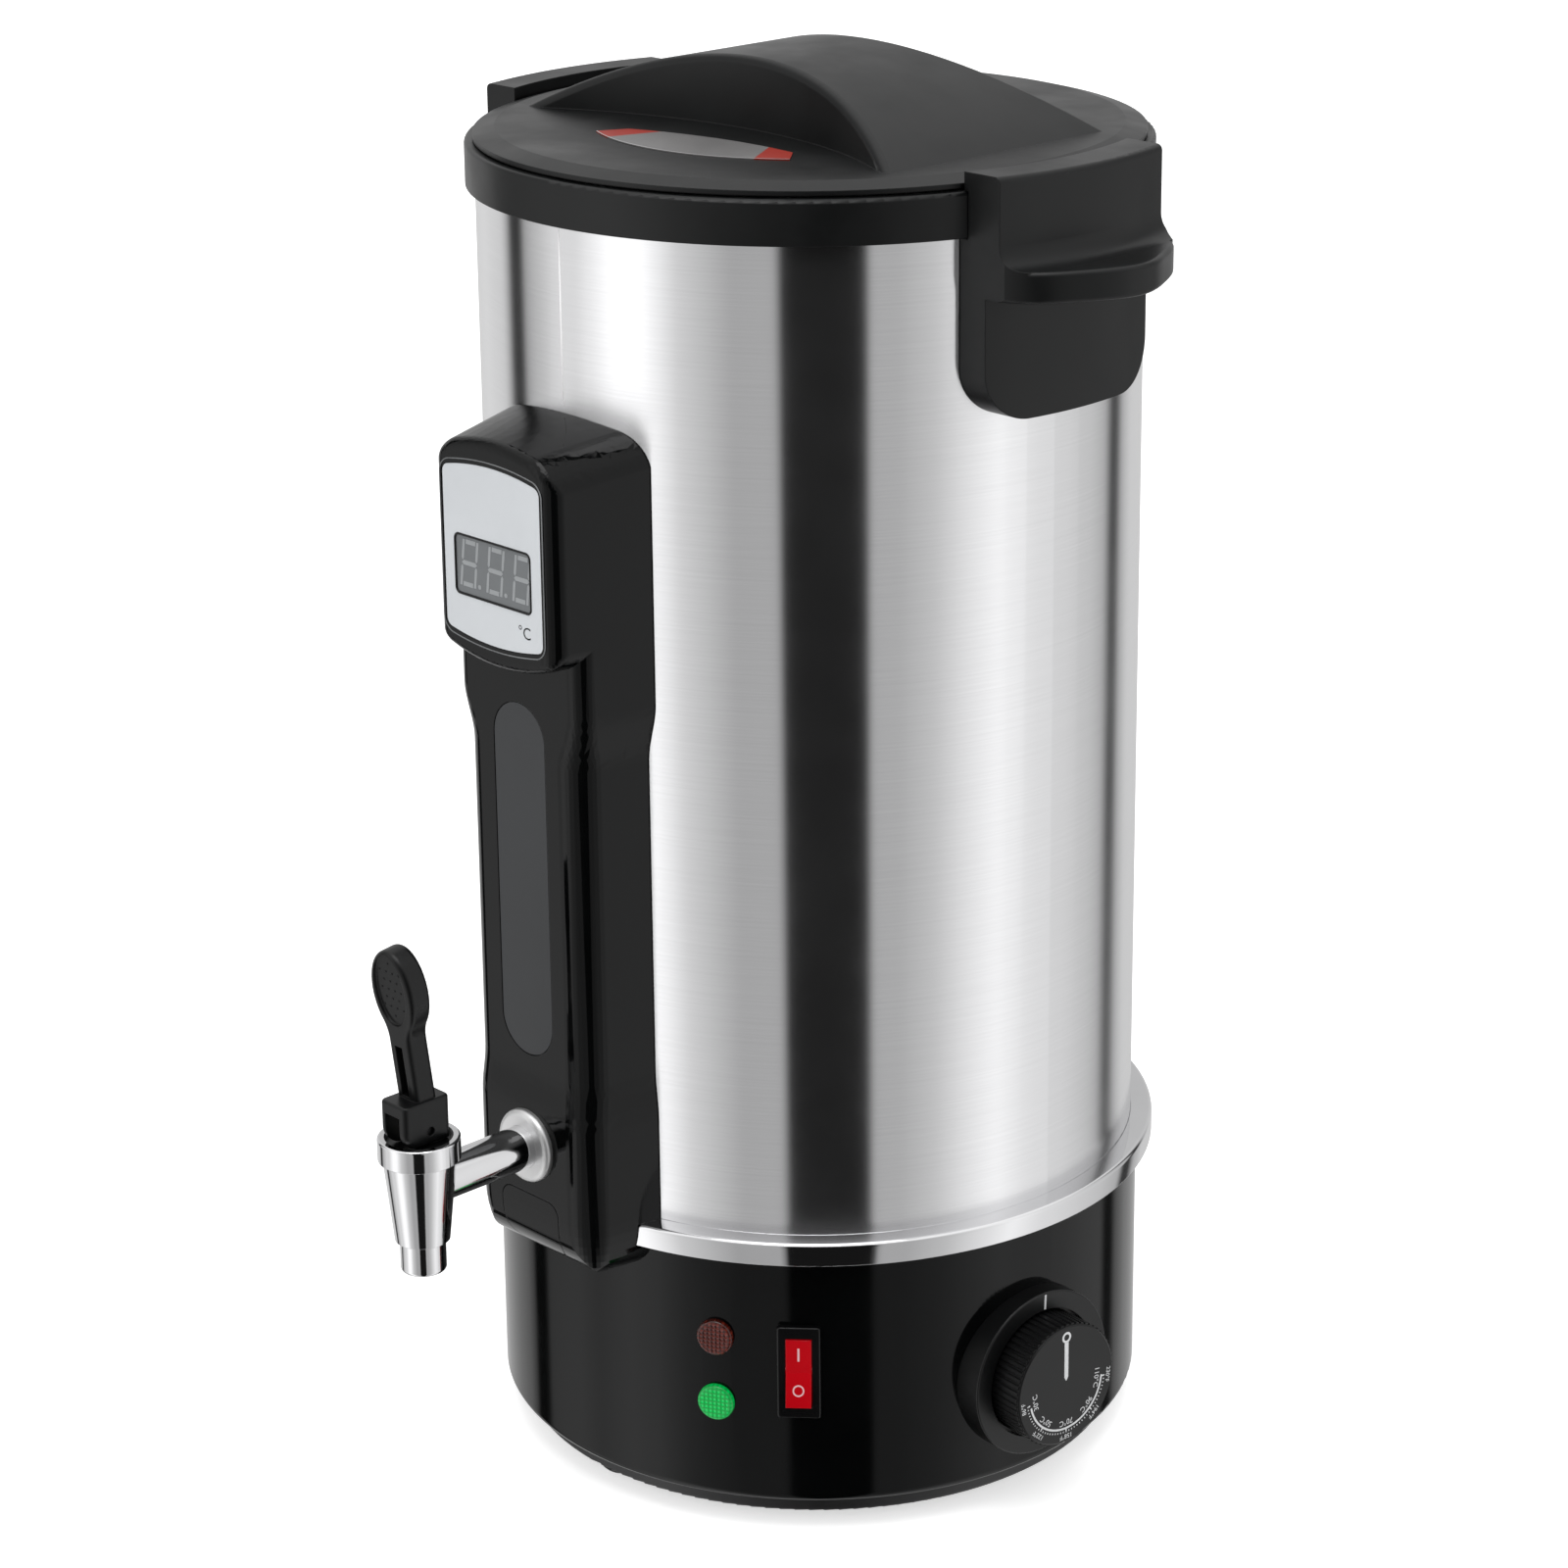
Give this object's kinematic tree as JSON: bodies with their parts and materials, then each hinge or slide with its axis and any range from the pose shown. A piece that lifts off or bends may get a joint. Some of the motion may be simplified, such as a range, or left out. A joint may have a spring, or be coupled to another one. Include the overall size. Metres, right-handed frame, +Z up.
{
  "type": "candle wax melter",
  "caption": "Tall steel wax melting pot with a lift-off lid, side handles, front tap, temperature display, rocker switch and thermostat dial.",
  "frame": {"origin": "on the barrel's axis at floor level, in the middle of the circle of the feet", "axes": "+Z up; the tap and the display face -Y; the side handles stand at +X and -X, with the dial near +X; the cord's gland is at +Y"},
  "size_m": [0.292, 0.3105, 0.48],
  "materials": {
    "barrel_steel": "brushed around the barrel",
    "pot_steel": "satin",
    "gloss_black": "gloss",
    "satin_black": "satin, fine grain",
    "chrome": "polished",
    "washer_grey": "satin",
    "silicone": "matte",
    "foot_rubber": "matte",
    "pan_black": "semi-gloss",
    "steel": "plain",
    "tap_black": "satin",
    "plunger_plastic": "plain",
    "inlay_grey": "satin",
    "display_silver": "satin",
    "display_smoke": "gloss, tinted",
    "module_black": "matte",
    "red_lamp": "translucent, faceted",
    "green_lamp": "translucent, faceted, lit",
    "lamp_white": "plain",
    "switch_black": "gloss",
    "rocker_red": "translucent gloss",
    "dial_black": "satin",
    "brass": "plain",
    "copper_tube": "plain",
    "aluminium": "plain",
    "gland_black": "matte",
    "badge_silver": "satin",
    "badge_red": "satin"
  },
  "bodies": {
    "housing": {"outer_barrel": "barrel_steel", "inner_pot": "pot_steel", "base_shell": "gloss_black", "shroud": "gloss_black", "shroud_cover": "gloss_black", "rim_ring": "satin_black", "handle_right": "satin_black", "handle_left": "satin_black", "trim_band": "chrome", "tap_body": "chrome", "tap_washer": "washer_grey", "tap_seal": "silicone", "feet": "foot_rubber", "base_pan": "pan_black", "foot_screws": "steel", "handle_screws": "steel", "shroud_screws": "steel", "tie_stud": "steel", "tie_nut": "steel", "tap_nut": "steel", "tap_spring": "steel", "heating_element": "steel", "temperature_probe": "steel", "tap_bonnet": "tap_black", "shroud_inlay": "inlay_grey", "display_plate": "display_silver", "display_window": "display_smoke", "display_module": "module_black", "red_lens": "red_lamp", "green_lens": "green_lamp", "lamp_holders": "lamp_white", "terminal_block": "lamp_white", "switch_housing": "switch_black", "dial_plate": "dial_black", "thermostat_bulb": "copper_tube", "capillary_tube": "copper_tube", "heat_plate": "aluminium", "thermostat_box": "aluminium", "thermal_cutout": "aluminium", "cord_gland": "gland_black"},
    "plunger": {"tap_plunger": "plunger_plastic", "plunger_seal": "silicone"},
    "lever": {"tap_lever": "tap_black", "lever_pin": "steel"},
    "lid_carrier": {"lid_stud": "pot_steel", "drip_plate": "pot_steel"},
    "lid": {"lid_shell": "satin_black", "lid_gasket": "silicone", "lid_badge": "badge_silver", "lid_badge_ends": "badge_red"},
    "knob": {"thermostat_knob": "dial_black", "thermostat_shaft": "brass"},
    "rocker": {"switch_rocker": "rocker_red"}
  },
  "joints": [
    {"name": "plunger_lift", "type": "slide", "parent": "housing", "child": "plunger", "axis": [0, 0, 1], "range_m": [0, 0.0034], "deforming": ["tap_spring"]},
    {"name": "lever_tilt", "type": "hinge", "parent": "plunger", "child": "lever", "pos_m": [0, -0.178, 0.1544], "axis": [1, 0, 0], "range_deg": [0, 40], "stiffness_Nm_per_rad": 0.2, "springref_deg": -20.05},
    {"name": "lid_lift", "type": "slide", "parent": "housing", "child": "lid_carrier", "axis": [0, 0, 1], "range_m": [0, 0.15]},
    {"name": "lid_turn", "type": "hinge", "parent": "lid_carrier", "child": "lid", "pos_m": [0, 0, 0.455], "axis": [0, 0, -1], "range_deg": [0, 32]},
    {"name": "knob_turn", "type": "hinge", "parent": "housing", "child": "knob", "pos_m": [0.11954, -0.01046, 0.0482], "axis": [-0.9962, 0.0872, 0], "range_deg": [0, 278]},
    {"name": "rocker_tip", "type": "hinge", "parent": "housing", "child": "rocker", "pos_m": [0.07567, -0.08257, 0.06], "axis": [0.7373, 0.6756, 0], "range_deg": [0, 15]}
  ],
  "couplings": [
    {"joint": "plunger_lift", "follows": "lever_tilt", "m_per_rad": 0.004727}
  ]
}
